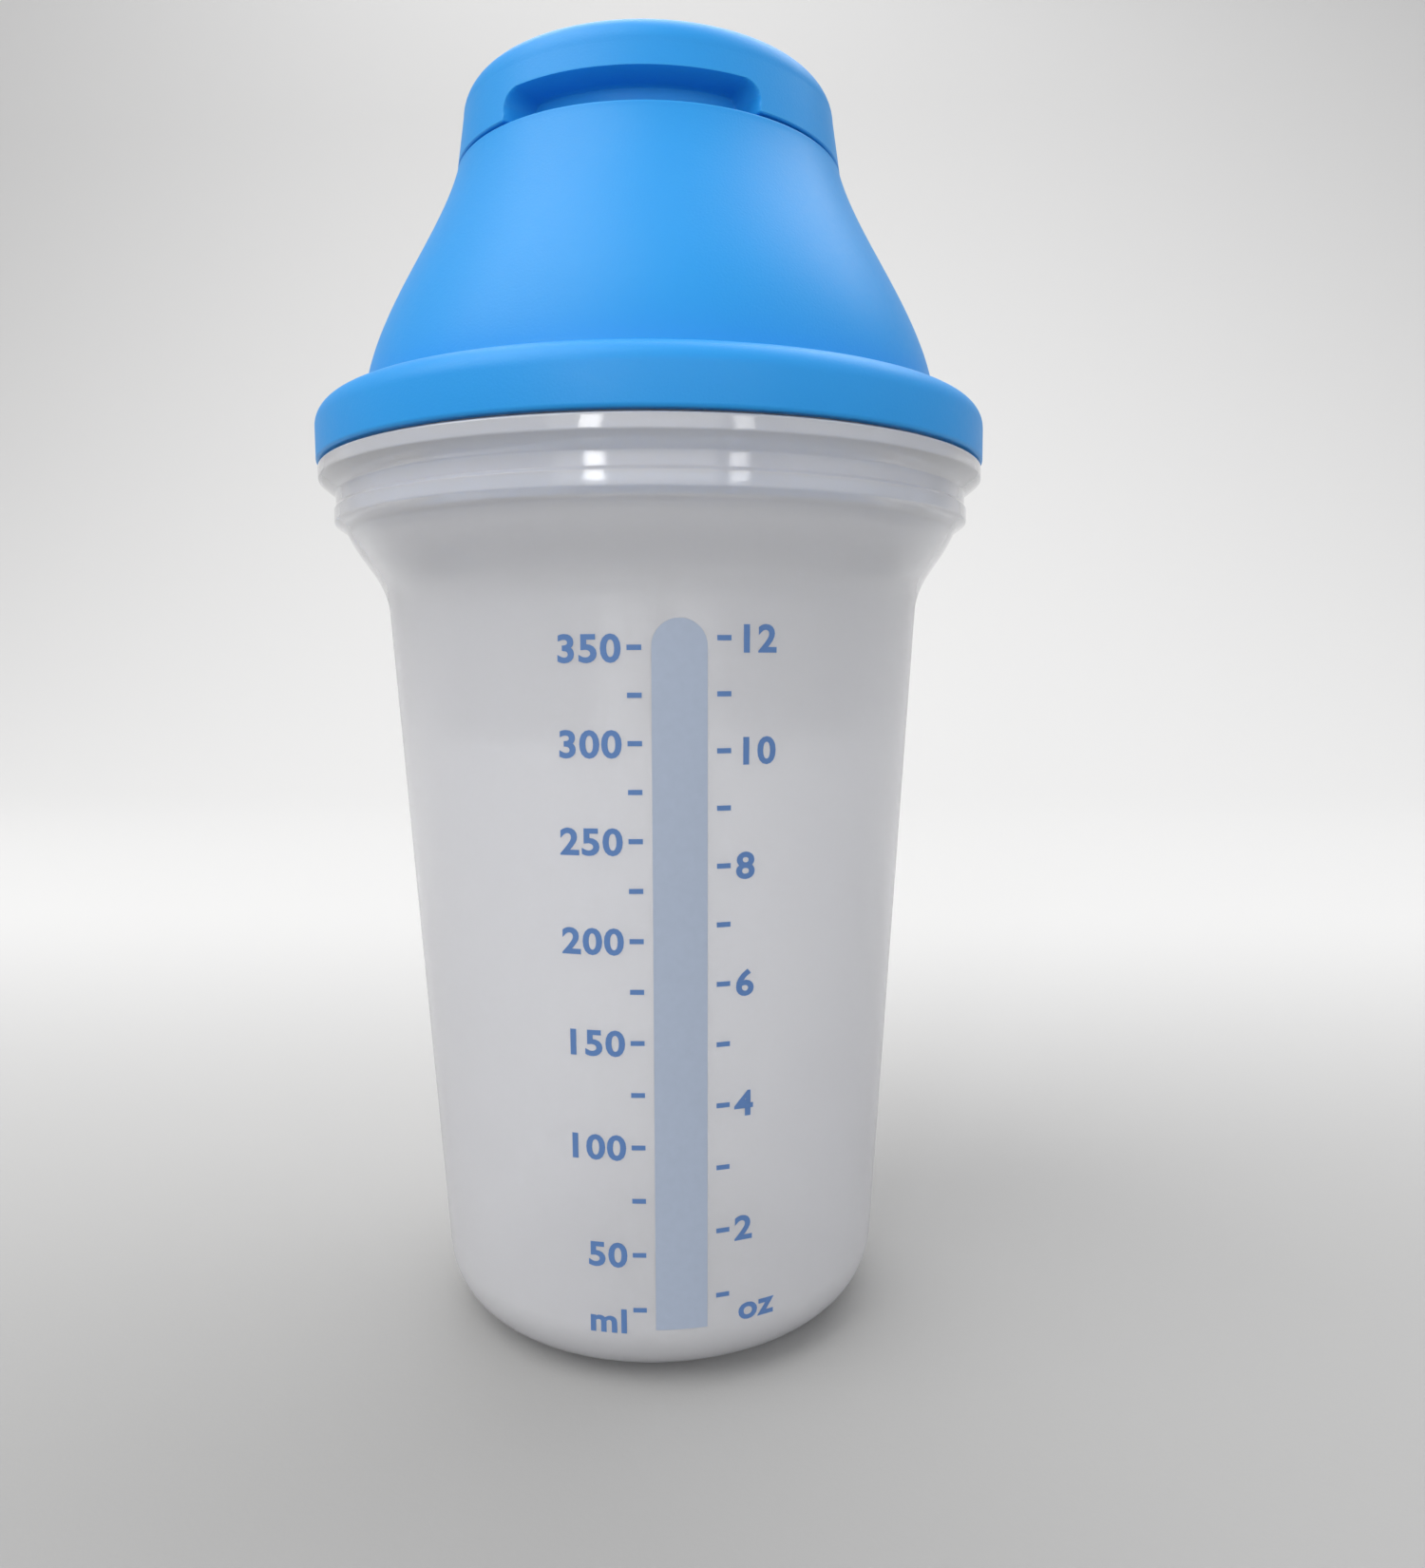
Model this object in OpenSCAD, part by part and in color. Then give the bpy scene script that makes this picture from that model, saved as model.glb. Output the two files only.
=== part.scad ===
// Protein shaker bottle: frosted tumbler, blending wheel, press-on lid with a flip cap.
// Millimetres, +Z up, origin at the centre of the foot, spout and finger recess towards -Y.

/* [Tumbler] */
// Outer radius that the straight side wall would have at the table
base_r = 32.4; // [31.5:0.1:33.5]
// Outer radius where the side wall meets the shoulder
body_r = 39.2; // [38.6:0.1:39.6]
// Height at which the shoulder starts
body_h = 105; // [104:0.5:106]
// Outer radius of the rounded bottom corner
corner_r = 10; // [8:0.5:11]
// Outer radius of the collar under the flange
collar_r = 46.4; // [46.2:0.1:46.6]
// Outer radius of the flange that the lid comes down on
flange_r = 48.4; // [48.2:0.1:48.6]
// Height of the flange's top face
flange_h = 125; // [124.5:0.1:125.3]
// Height of the rim, inside the lid's skirt
rim_h = 131.4; // [130.9:0.1:131.5]
// Wall thickness of the tumbler
wall = 1.6; // [1.4:0.1:1.8]
// Height of the floor inside the tumbler
floor_h = 2.8; // [2.6:0.1:3.2]

/* [Lid] */
// Outer radius of the lid's skirt
skirt_r = 48.6; // [48.4:0.05:48.8]
// Height of the skirt's lower edge
skirt_h = 125.4; // [125.3:0.1:125.8]
// Wall thickness of the lid and the cap
lid_wall = 1.7; // [1.5:0.1:1.8]
// Height of the deck under the flip cap
deck_h = 167.3; // [167.2:0.1:167.5]
// Outer radius of the dome's top edge
deck_r = 28; // [27.9:0.05:28.2]
// Bore radius of the spout
spout_r = 5.7; // [5:0.1:6]

/* [Flip cap] */
// Width of the finger recess
recess_w = 33; // [28:0.5:34]
// Gap between the cap and the dome, all round
seam = 0.4; // [0.3:0.05:0.5]
// Height of the edge of the cap's top face
cap_h = 178.9; // [178.6:0.1:179.2]
// Radius of the hinge pin
pin_r = 1; // [0.8:0.1:1.2]

/* [Blending wheel] */
// Turn of the wheel about the bottle's axis, in degrees
wheel_turn = 9; // [0:1:20]
// Height of the paddles' lower edge
paddle_low = 86.2; // [84.5:0.1:90]
// Thickness of the wheel's walls
wheel_wall = 1.4; // [1.2:0.1:1.6]
// Width of each arched window in the wheel's rim
window_w = 13.6; // [10:0.2:15]

/* [Hidden] */
$fn = 96;
eps = 0.01;
gap = 0.3;                 // clearance between separate pieces
blue = "#3aa0e8";
frost = [0.87, 0.88, 0.91, 0.6];

// Tumbler
taper = atan((body_r - base_r) / body_h);
corner_x = base_r + corner_r * tan(taper) - corner_r / cos(taper);
punt_r = 21;               // edge of the hollow under the foot
punt_h = 1.2;
shoulder_h = 116.1;
shoulder = [[body_r, body_h], [body_r + 0.4, body_h + 4.6],
            [body_r + 3.6, body_h + 6.4], [collar_r - wall, shoulder_h]];
collar_h = shoulder_h + 1.1;
flange_low = 121.2;        // where the flange's sloping underside leaves the collar
mouth_r = collar_r - wall - 0.2;
ledge_h = 116.7;           // inner step that ends the shoulder
rim_r = 46;
bead = 0.35;               // snap bead round the rim

// Lid
skirt_in = rim_r + bead + 0.4;
round_r = 3.2;             // rounding of the skirt's upper edge
round_h = 130.2;
ledge_r = 43.2;            // inner end of the flat ledge on top of the skirt
dome = [[41.9, 133.4], [40.94, 145.13], [31.12, 156.09], [28.05, 166.8]];
dome_t0 = 0.05;            // where the dome leaves the fillet at its foot
plug_r = mouth_r - gap;
plug_in = plug_r - lid_wall;
plug_h = ledge_h + gap;
groove_low = 119;
groove_high = 121;
groove_deep = 0.9;
spout_y = -13;
spout_h = deck_h + 4;
spout_wall = 1.3;
rib_r = 25.7;              // short ribs on the deck that steady the cap's sides
rib_h = 2;

// Hinge
hinge_y = 24.6;
hinge_h = 171.6;
knuckle_r = 2.2;
knuckle_w = 12.6;
ear_in = 6.6;
ear_w = 3;
notch_w = 21;
notch_h = 176.3;

// Cap
cap_low = deck_h + seam;
cap_edge = 4.1;            // rounding of the cap's upper edge
cap_r = deck_r - 0.1;
cap_top_r = 22.8;          // radius of the nearly flat top face
crown = 0.7;
recess_h = deck_h + 4.1;
recess_r = 22.8;           // radius of the recess's back wall
recess_round = 2;
boss_r = 4;
boss_h = deck_h + 5.3;
plug_fit = 0.3;
stopper_low = deck_h + 2;

// Wheel
disc_h = 107.7;
disc_top = 109.1;
cone_t = [0.17, 0.86];     // stretch of the shoulder that the wheel's rim lies on
ring_in = 31;
hub_r = 8;
spoke_w = 3.2;
window_h = 3.5;
paddle_in = 9;
paddle_round = 5;

// Points on a cubic curve, set in from it by d
function bez(p, t) = pow(1 - t, 3) * p[0] + 3 * t * pow(1 - t, 2) * p[1]
                     + 3 * t * t * (1 - t) * p[2] + pow(t, 3) * p[3];
function slope(p, t) = 3 * pow(1 - t, 2) * (p[1] - p[0]) + 6 * t * (1 - t) * (p[2] - p[1])
                       + 3 * t * t * (p[3] - p[2]);
function inset(p, t, d) = bez(p, t) - d * [slope(p, t)[1], -slope(p, t)[0]] / norm(slope(p, t));
function curve(p, d, t0, t1, n) = [for (i = [0:n]) inset(p, t0 + (t1 - t0) * i / n, d)];
function arc(c, r, a0, a1, n) =
    [for (i = [0:n]) c + r * [cos(a0 + (a1 - a0) * i / n), sin(a0 + (a1 - a0) * i / n)]];
function reversed(p) = [for (i = [len(p) - 1:-1:0]) p[i]];
function body_at(z) = base_r + z * tan(taper);

// Tumbler -----------------------------------------------------------------------------

module tumbler() {
    outside = concat(
        [[0, punt_h], [punt_r - punt_h, punt_h], [punt_r, 0]],
        arc([corner_x, corner_r], corner_r, -90, -taper, 10),
        curve(shoulder, 0, 0, 1, 12),
        [[collar_r, collar_h], [collar_r, flange_low], [flange_r, flange_low + 1.9],
         [flange_r, flange_h - 0.4], [flange_r - 0.4, flange_h], [rim_r, flange_h],
         [rim_r, flange_h + 4], [rim_r + bead, flange_h + 4.6], [rim_r, flange_h + 5.4],
         [rim_r, rim_h - 0.4], [rim_r - 0.4, rim_h]]);
    floor_a = -asin((corner_r - floor_h) / (corner_r - wall));
    inside = concat(
        [[mouth_r + 0.4, rim_h], [mouth_r, rim_h - 0.4], [mouth_r, ledge_h]],
        reversed(curve(shoulder, wall, 0, 1, 12)),
        reversed(arc([corner_x, corner_r], corner_r - wall, floor_a, -taper, 10)),
        [[0, floor_h]]);
    color(frost) rotate_extrude() polygon(concat(outside, inside));
}

// Blending wheel ----------------------------------------------------------------------

module wheel_rim() {
    lie = wall + gap;
    rotate_extrude() polygon(concat(
        curve(shoulder, lie, cone_t[0], cone_t[1], 10),
        reversed(curve(shoulder, lie + wheel_wall, cone_t[0], cone_t[1], 10))));
    rotate_extrude() polygon([
        [ring_in, disc_h], [inset(shoulder, cone_t[0], lie)[0], disc_h],
        inset(shoulder, cone_t[0], lie), inset(shoulder, 0.3, lie + wheel_wall / 2),
        [inset(shoulder, 0.3, lie + wheel_wall)[0], disc_top], [ring_in, disc_top]]);
}

// Half-moon opening through the sloping rim: flat below, arched above
module window() {
    r = (pow(window_w / 2, 2) + pow(window_h, 2)) / (2 * window_h);
    rotate([90, 0, 90])
        translate([0, 0, ring_in])
            linear_extrude(body_r)
                intersection() {
                    translate([0, disc_top + window_h - r]) circle(r);
                    translate([-window_w, disc_top]) square([2 * window_w, window_h + 1]);
                }
}

module paddle() {
    reach_low = body_at(paddle_low) - wall - 0.75;
    reach_top = body_at(body_h) - wall - 0.75;
    lean = atan((reach_top - reach_low) / (body_h - paddle_low));
    low_corner = [reach_low + paddle_round * (tan(lean) - 1 / cos(lean)),
                  paddle_low + paddle_round];
    rotate([90, 0, 0])
        translate([0, 0, -wheel_wall / 2])
            linear_extrude(wheel_wall)
                polygon(concat(
                    arc([paddle_in + paddle_round, paddle_low + paddle_round],
                        paddle_round, 180, 270, 8),
                    arc(low_corner, paddle_round, -90, -lean, 8),
                    [[reach_top, body_h], [reach_top - 1, disc_top - eps],
                     [paddle_in, disc_top - eps]]));
}

module blending_wheel() {
    color(frost)
        rotate([0, 0, wheel_turn])
            union() {
                difference() {
                    wheel_rim();
                    for (a = [45:90:315]) rotate([0, 0, a]) window();
                }
                translate([0, 0, disc_h]) cylinder(r = hub_r, h = disc_top - disc_h);
                for (a = [0:90:270]) rotate([0, 0, a]) {
                    translate([0, -spoke_w / 2, disc_h])
                        cube([ring_in + 1, spoke_w, disc_top - disc_h]);
                    paddle();
                }
            }
}

// Lid ---------------------------------------------------------------------------------

module lid_shell() {
    bend = [skirt_r - round_r, round_h];
    top_h = round_h + round_r;
    fillet = [[ledge_r, top_h], [dome[0][0] + 0.2, top_h],
              bez(dome, dome_t0 / 3), bez(dome, dome_t0)];
    ceiling = rim_h + gap;
    under_h = deck_h - lid_wall;
    outside = concat(
        [[skirt_in, skirt_h], [skirt_r - 0.3, skirt_h], [skirt_r, skirt_h + 0.3]],
        arc(bend, round_r, 0, 90, 8),
        curve(fillet, 0, 0, 1, 4),
        curve(dome, 0, dome_t0 + 0.04, 1, 22),
        [[deck_r, deck_h - 0.3], [deck_r - 0.3, deck_h]]);
    inside = concat(
        [[0, deck_h], [0, under_h], [bez(dome, 1)[0] - lid_wall, under_h]],
        [for (p = reversed(curve(dome, lid_wall, 0, 1, 22))) if (p[1] < under_h) p],
        [[bez(dome, 0)[0] - lid_wall, ceiling], [plug_in, ceiling],
         [plug_in, plug_h + 0.6], [plug_in + 0.6, plug_h],
         [plug_r - 0.5, plug_h], [plug_r, plug_h + 1],
         [plug_r, groove_low], [plug_r - groove_deep, groove_low],
         [plug_r - groove_deep, groove_high], [plug_r, groove_high],
         [plug_r, ceiling], [skirt_in, ceiling]]);
    rotate_extrude() polygon(concat(outside, inside));
}

module spout() {
    translate([0, spout_y, deck_h - eps])
        cylinder(r = spout_r + spout_wall, h = spout_h - deck_h);
}

module ribs() {
    difference() {
        intersection() {
            translate([0, 0, deck_h - eps]) cylinder(r = rib_r, h = rib_h);
            translate([-rib_r, -12, deck_h - 1]) cube([2 * rib_r, 22, rib_h + 2]);
        }
        translate([0, 0, deck_h - 1]) cylinder(r = rib_r - spout_wall, h = rib_h + 2);
    }
}

module ears() {
    intersection() {
        for (x = [-ear_in - ear_w, ear_in]) translate([x, 0, 0]) {
            translate([0, hinge_y, hinge_h])
                rotate([0, 90, 0]) cylinder(r = knuckle_r, h = ear_w);
            translate([0, hinge_y - knuckle_r, deck_h - 1])
                cube([ear_w, 2 * knuckle_r, hinge_h - deck_h + 1]);
        }
        cylinder(r = deck_r - 0.1, h = cap_h);
    }
}

module hinge_bore(r) {
    translate([-notch_w, hinge_y, hinge_h]) rotate([0, 90, 0]) cylinder(r = r, h = 2 * notch_w);
}

module lid_dome() {
    color(blue) difference() {
        union() {
            lid_shell();
            spout();
            ribs();
            ears();
        }
        translate([0, spout_y, deck_h - lid_wall - 1])
            cylinder(r = spout_r, h = spout_h + lid_wall + 2 - deck_h);
        hinge_bore(pin_r);
    }
}

module lid_gasket() {
    in_r = plug_r - groove_deep;
    mid = (groove_low + groove_high) / 2;
    color("#2f86cc") rotate_extrude() polygon([
        [in_r, groove_low + 0.1], [plug_r - 0.1, groove_low + 0.1], [plug_r + 0.1, mid - 0.4],
        [plug_r + 0.1, mid + 0.4], [plug_r - 0.1, groove_high - 0.1],
        [in_r, groove_high - 0.1]]);
}

module hinge_pin() {
    reach = ear_in + ear_w - 0.2;
    color("#2f86cc")
        translate([-reach, hinge_y, hinge_h])
            rotate([0, 90, 0]) cylinder(r = pin_r, h = 2 * reach);
}

// Flip cap ----------------------------------------------------------------------------

module cap_solid() {
    edge = [cap_top_r, cap_h - cap_edge];
    rotate_extrude() polygon(concat(
        [[0, cap_low], [cap_r, cap_low]],
        arc(edge, cap_edge, 0, 90, 10),
        [[cap_top_r * 0.5, cap_h + crown * 0.75], [0, cap_h + crown]]));
}

module cap_hollow() {
    edge = [cap_top_r, cap_h - cap_edge];
    rotate_extrude() polygon(concat(
        [[0, cap_low - 1], [cap_r - lid_wall, cap_low - 1]],
        arc(edge, cap_edge - lid_wall, 0, 90, 6),
        [[0, cap_h - lid_wall]]));
}

// Finger recess, grown by w to make the walls that close it off inside the cap
module recess(w) {
    half = recess_w / 2 + w;
    top = recess_h + w;
    round_w = recess_round + w;
    difference() {
        rotate([90, 0, 0])
            linear_extrude(deck_r + 2)
                union() {
                    translate([-half, cap_low - 1])
                        square([2 * half, top - round_w - cap_low + 1]);
                    translate([-half + round_w, cap_low - 1])
                        square([2 * (half - round_w), top - cap_low + 1]);
                    for (s = [-1, 1])
                        translate([s * (half - round_w), top - round_w]) circle(round_w);
                }
        translate([0, 0, cap_low - 2]) cylinder(r = recess_r - w, h = 10);
    }
}

module flip_cap() {
    color(blue) difference() {
        union() {
            difference() {
                cap_solid();
                difference() {
                    cap_hollow();
                    recess(lid_wall - 0.3);
                }
                translate([-notch_w / 2, hinge_y - knuckle_r - 1, cap_low - 1])
                    cube([notch_w, 3 * knuckle_r, notch_h - cap_low + 1]);
            }
            translate([0, spout_y, boss_h]) cylinder(r = boss_r, h = cap_h - 1 - boss_h);
            translate([-knuckle_w / 2, hinge_y, hinge_h])
                rotate([0, 90, 0]) cylinder(r = knuckle_r, h = knuckle_w);
            translate([-knuckle_w / 2, hinge_y - knuckle_r, hinge_h])
                cube([knuckle_w, knuckle_r + 1.4, cap_h - lid_wall + 0.1 - hinge_h]);
        }
        recess(0);
        hinge_bore(pin_r + 0.06);
    }
}

module spout_stopper() {
    color("#2f86cc") translate([0, spout_y, 0]) rotate_extrude() polygon([
        [0, stopper_low], [spout_r - plug_fit - 0.8, stopper_low],
        [spout_r - plug_fit, stopper_low + 0.8], [spout_r - plug_fit, spout_h + gap],
        [spout_r + spout_wall, spout_h + gap], [spout_r + spout_wall, boss_h + 1],
        [boss_r + 1.6, cap_h - lid_wall - 0.6], [boss_r, cap_h - lid_wall - 0.6],
        [boss_r, boss_h], [0, boss_h]]);
}

tumbler();
blending_wheel();
lid_dome();
lid_gasket();
hinge_pin();
flip_cap();
spout_stopper();
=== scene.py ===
# %% [markdown]
# # A protein shaker bottle
# The bottle is seven mouldings: a frosted tumbler, a blending wheel that drops into its neck,
# a press-on lid with a soft ring, and a flip cap that turns on a pin and carries a soft plug.
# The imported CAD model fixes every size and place. This script gives the same pieces finer
# meshes, a printed scale, and the finish of real polypropylene.

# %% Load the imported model
import math

import bmesh
import bpy
from mathutils import Matrix, Vector


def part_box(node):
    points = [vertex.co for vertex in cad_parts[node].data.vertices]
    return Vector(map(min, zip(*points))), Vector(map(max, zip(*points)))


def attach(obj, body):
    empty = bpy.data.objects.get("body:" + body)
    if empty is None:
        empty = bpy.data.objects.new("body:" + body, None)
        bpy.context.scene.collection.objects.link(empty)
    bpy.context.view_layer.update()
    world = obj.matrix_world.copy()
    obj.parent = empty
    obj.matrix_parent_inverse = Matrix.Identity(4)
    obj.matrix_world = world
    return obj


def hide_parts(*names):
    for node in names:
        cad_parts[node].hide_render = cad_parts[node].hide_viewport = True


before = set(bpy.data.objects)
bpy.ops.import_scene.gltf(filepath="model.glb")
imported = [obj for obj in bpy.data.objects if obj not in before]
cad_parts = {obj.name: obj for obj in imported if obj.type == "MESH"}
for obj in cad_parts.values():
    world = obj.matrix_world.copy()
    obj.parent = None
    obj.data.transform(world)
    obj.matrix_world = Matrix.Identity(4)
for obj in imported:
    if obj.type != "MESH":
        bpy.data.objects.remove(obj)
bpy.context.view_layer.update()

MM = 0.001

# %% [markdown]
# ## Driving sizes
# Sizes that other pieces rest on are read from the CAD nodes' boxes, so the meshes can't drift
# from the model. The rest are the moulding's own details, in millimetres.

# %% Sizes read from the frame
tumbler_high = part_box("tumbler")[1] / MM
wheel_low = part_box("blending_wheel")[0] / MM
lid_low, lid_high = (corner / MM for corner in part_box("lid_dome"))
cap_low, cap_high = (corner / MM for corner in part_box("flip_cap"))
pin_low, pin_high = (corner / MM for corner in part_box("hinge_pin"))
stopper_low, stopper_high = (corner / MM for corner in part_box("spout_stopper"))
ring_low, ring_high = (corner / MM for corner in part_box("lid_gasket"))

FLANGE_R = tumbler_high.y
RIM_H = tumbler_high.z
SKIRT_R = lid_high.y
PLUG_H = lid_low.z
CAP_R = cap_high.x
CAP_LOW = cap_low.z
CAP_TOP = cap_high.z
HINGE_Y = (pin_low.y + pin_high.y) / 2
HINGE_H = (pin_low.z + pin_high.z) / 2
PIN_R = (pin_high.z - pin_low.z) / 2
SPOUT_Y = (stopper_low.y + stopper_high.y) / 2
PADDLE_LOW = wheel_low.z
print(f"flange {2 * FLANGE_R:.1f} mm across, {CAP_TOP:.1f} mm tall, hinge at y {HINGE_Y:.1f}")

# %% Sizes of the mouldings' details
BASE_R = 32.4          # side wall's radius, carried down to the table
BODY_R = 39.2          # side wall's radius where the shoulder starts
BODY_H = 105.0
WALL = 1.6
FLOOR_H = 2.8
COLLAR_R = 46.4
FLANGE_H = 125.0
LEDGE_H = 116.7        # step inside the neck that ends the shoulder
MOUTH_R = COLLAR_R - WALL - 0.2
RIM_R = 46.0
GAP = 0.3              # clearance between separate pieces
LID_WALL = 1.7
SKIRT_H = 125.4
DECK_H = CAP_LOW - 0.4
DECK_R = CAP_R + 0.1
SPOUT_R = 5.7
TURN = math.radians(9)  # the wheel sits a little to the right of the spout
SHOULDER = [(BODY_R, BODY_H), (BODY_R + 0.4, BODY_H + 4.6), (BODY_R + 3.6, BODY_H + 6.4),
            (COLLAR_R - WALL, BODY_H + 11.1)]
DOME = [(41.9, 133.4), (40.94, 145.13), (31.12, 156.09), (28.05, 166.8)]


def body_at(z):
    """Outer radius of the tapered side wall at height z."""
    return BASE_R + (BODY_R - BASE_R) * z / BODY_H


# %% [markdown]
# ## Outlines
# Nearly every piece here is a turned shape, so its form is one outline of radius against
# height. Corners are given with their own radius and become arcs, and the dome and the
# shoulder are cubic curves. A wall is the same curve again, set in by the wall's thickness.

# %% Outline helpers
def cubic(points, t):
    """Point on a cubic curve with four control points."""
    a, b, c, d = (Vector(p) for p in points)
    s = 1 - t
    return s ** 3 * a + 3 * s * s * t * b + 3 * s * t * t * c + t ** 3 * d


def curve(points, inset=0.0, t0=0.0, t1=1.0, steps=24):
    """A stretch of a cubic curve, moved to its left by inset."""
    line = []
    for i in range(steps + 1):
        t = t0 + (t1 - t0) * i / steps
        along = (cubic(points, t + 1e-3) - cubic(points, t - 1e-3)).normalized()
        line.append(cubic(points, t) + inset * Vector((-along.y, along.x)))
    return line


def arc(centre, radius, start, end, steps=8):
    """Points round a centre, with the angles in degrees."""
    line = []
    for i in range(steps + 1):
        a = math.radians(start + (end - start) * i / steps)
        line.append(Vector(centre) + radius * Vector((math.cos(a), math.sin(a))))
    return line


def rounded(corners, steps=5, ring=False):
    """A line through (r, z, radius) corners, each turned into an arc of its radius."""
    line = []
    count = len(corners)
    for i, (r, z, radius) in enumerate(corners):
        here = Vector((r, z))
        if radius == 0 or (not ring and i in (0, count - 1)):
            line.append(here)
            continue
        back = Vector(corners[i - 1][:2]) - here
        ahead = Vector(corners[(i + 1) % count][:2]) - here
        half = back.angle(ahead) / 2
        middle = here + (back.normalized() + ahead.normalized()).normalized() * (
            radius / math.sin(half))
        from_middle = here + back.normalized() * (radius / math.tan(half)) - middle
        start = math.degrees(math.atan2(from_middle.y, from_middle.x))
        to_middle = here + ahead.normalized() * (radius / math.tan(half)) - middle
        sweep = math.degrees(math.atan2(to_middle.y, to_middle.x)) - start
        sweep = (sweep + 180) % 360 - 180
        line += arc(middle, radius, start, start + sweep, steps)
    return line


# %% [markdown]
# ## Mesh helpers
# A turned piece could come from a Screw or Spin tool. Building the rings here gives one clean
# pole at each end and no doubled seam. Flat parts, such as ears and paddles, are an outline
# given a thickness, with a Bevel modifier for the small moulded edge.

# %% Mesh helpers
def new_object(name, verts, faces):
    """An object from points in millimetres, with its faces pointing outwards."""
    mesh = bpy.data.meshes.new(name)
    mesh.from_pydata([Vector(v) * MM for v in verts], [], faces)
    bm = bmesh.new()
    bm.from_mesh(mesh)
    bmesh.ops.recalc_face_normals(bm, faces=bm.faces)
    bm.to_mesh(mesh)
    bm.free()
    obj = bpy.data.objects.new(name, mesh)
    bpy.context.scene.collection.objects.link(obj)
    return obj


def turned(name, line, steps=192, ring=False, centre=(0, 0)):
    """The solid that an outline sweeps out round a vertical axis."""
    verts = []
    rings = []
    for r, z in line:
        if r < 1e-6:
            rings.append([len(verts)] * steps)
            verts.append((centre[0], centre[1], z))
            continue
        rings.append(list(range(len(verts), len(verts) + steps)))
        for k in range(steps):
            a = 2 * math.pi * k / steps
            verts.append((centre[0] + r * math.sin(a), centre[1] - r * math.cos(a), z))
    if ring:
        rings.append(rings[0])
    faces = []
    for low, high in zip(rings, rings[1:]):
        for k in range(steps):
            n = (k + 1) % steps
            faces.append(list(dict.fromkeys((low[k], low[n], high[n], high[k]))))
    return new_object(name, verts, faces)


def plate(name, outline, thickness, edge=0.2):
    """An outline in the XZ plane, given a thickness along Y and a small rounded edge."""
    count = len(outline)
    verts = [(x, y, z) for y in (-thickness / 2, thickness / 2) for x, z in outline]
    faces = [list(range(count)), list(range(2 * count - 1, count - 1, -1))]
    for k in range(count):
        n = (k + 1) % count
        faces.append([k, count + k, count + n, n])
    obj = new_object(name, verts, faces)
    if edge:
        bevel = obj.modifiers.new("edge", "BEVEL")
        bevel.width = edge * MM
        bevel.segments = 3
        bevel.limit_method = "ANGLE"
        bevel.angle_limit = math.radians(40)
        settle(obj)
    return obj


def settle(obj):
    """Turns an object and its modifiers into a plain mesh."""
    bpy.context.view_layer.update()
    seen = obj.evaluated_get(bpy.context.evaluated_depsgraph_get())
    mesh = bpy.data.meshes.new_from_object(seen)
    obj.modifiers.clear()
    obj.data = mesh
    return obj


def move(obj, matrix):
    """Moves an object's mesh, with the matrix's shift in millimetres."""
    shift = Matrix.Translation(matrix.translation * MM)
    obj.data.transform(shift @ matrix.to_3x3().to_4x4())
    return obj


def cut(obj, *cutters):
    """Takes the cutters' space out of the object."""
    for cutter in cutters:
        boolean = obj.modifiers.new("cut", "BOOLEAN")
        boolean.operation = "DIFFERENCE"
        boolean.solver = "EXACT"
        boolean.object = cutter
        settle(obj)
        bpy.data.objects.remove(cutter)
    return obj


def joined(name, *parts):
    """One object from several closed shells of the same moulding."""
    bm = bmesh.new()
    for part in parts:
        bm.from_mesh(part.data)
        bpy.data.objects.remove(part)
    mesh = bpy.data.meshes.new(name)
    bm.to_mesh(mesh)
    bm.free()
    obj = bpy.data.objects.new(name, mesh)
    bpy.context.scene.collection.objects.link(obj)
    return obj


def finish_piece(obj, material, body, node=None, crease=32):
    """Smooth shading, material, and the piece's place in the frame."""
    obj.data.shade_smooth()
    obj.data.set_sharp_from_angle(angle=math.radians(crease))
    obj.data.materials.clear()
    obj.data.materials.append(material)
    for face in obj.data.polygons:
        face.material_index = 0
    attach(obj, body)
    if node:
        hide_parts(node)
    print(f"{obj.name}: {len(obj.data.polygons)} faces, rides on {body}")
    return obj


# %% [markdown]
# ## Finishes
# Moulded plastic is told apart by how its surface was cut in the tool. The lid has a fine
# spark-eroded grain that scatters light, the tumbler's side is frosted the same way, and its
# collar is polished, so it shows crisp window reflections. All patterns read Object
# coordinates, in metres, so they stay put on the piece.

# %% Material helpers
def material(name, colour, roughness, **sockets):
    """A Principled material. Returns it with its node tree and shader."""
    mat = bpy.data.materials.new(name)
    mat.use_nodes = True
    tree = mat.node_tree
    shader = next(n for n in tree.nodes if n.type == "BSDF_PRINCIPLED")
    shader.inputs["Base Color"].default_value = (*colour, 1)
    shader.inputs["Roughness"].default_value = roughness
    for socket, value in sockets.items():
        shader.inputs[socket.replace("_", " ")].default_value = value
    return mat, tree, shader


def node(tree, kind, label, **values):
    """A labelled node with some of its inputs set."""
    made = tree.nodes.new(kind)
    made.label = label
    for key, value in values.items():
        made.inputs[key.replace("_", " ")].default_value = value
    return made


def noise_on(tree, label, scale, detail=2.0):
    """Noise over the piece's own coordinates. scale is in features per metre."""
    place = tree.nodes.new("ShaderNodeTexCoord")
    noise = node(tree, "ShaderNodeTexNoise", label, Scale=scale, Detail=detail)
    tree.links.new(place.outputs["Object"], noise.inputs["Vector"])
    return noise.outputs["Fac"]


def spread(tree, value, low, high, label):
    """Maps a 0 to 1 value onto low to high."""
    ramp = node(tree, "ShaderNodeMapRange", label, To_Min=low, To_Max=high)
    tree.links.new(value, ramp.inputs["Value"])
    return ramp.outputs["Result"]


def grain(tree, shader, scale, depth, label):
    """Fine moulded grain as a bump, depth in millimetres."""
    bump = node(tree, "ShaderNodeBump", label, Strength=1.0, Distance=depth * MM)
    tree.links.new(noise_on(tree, label, scale, 3.0), bump.inputs["Height"])
    tree.links.new(bump.outputs["Normal"], shader.inputs["Normal"])
    return bump


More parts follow.
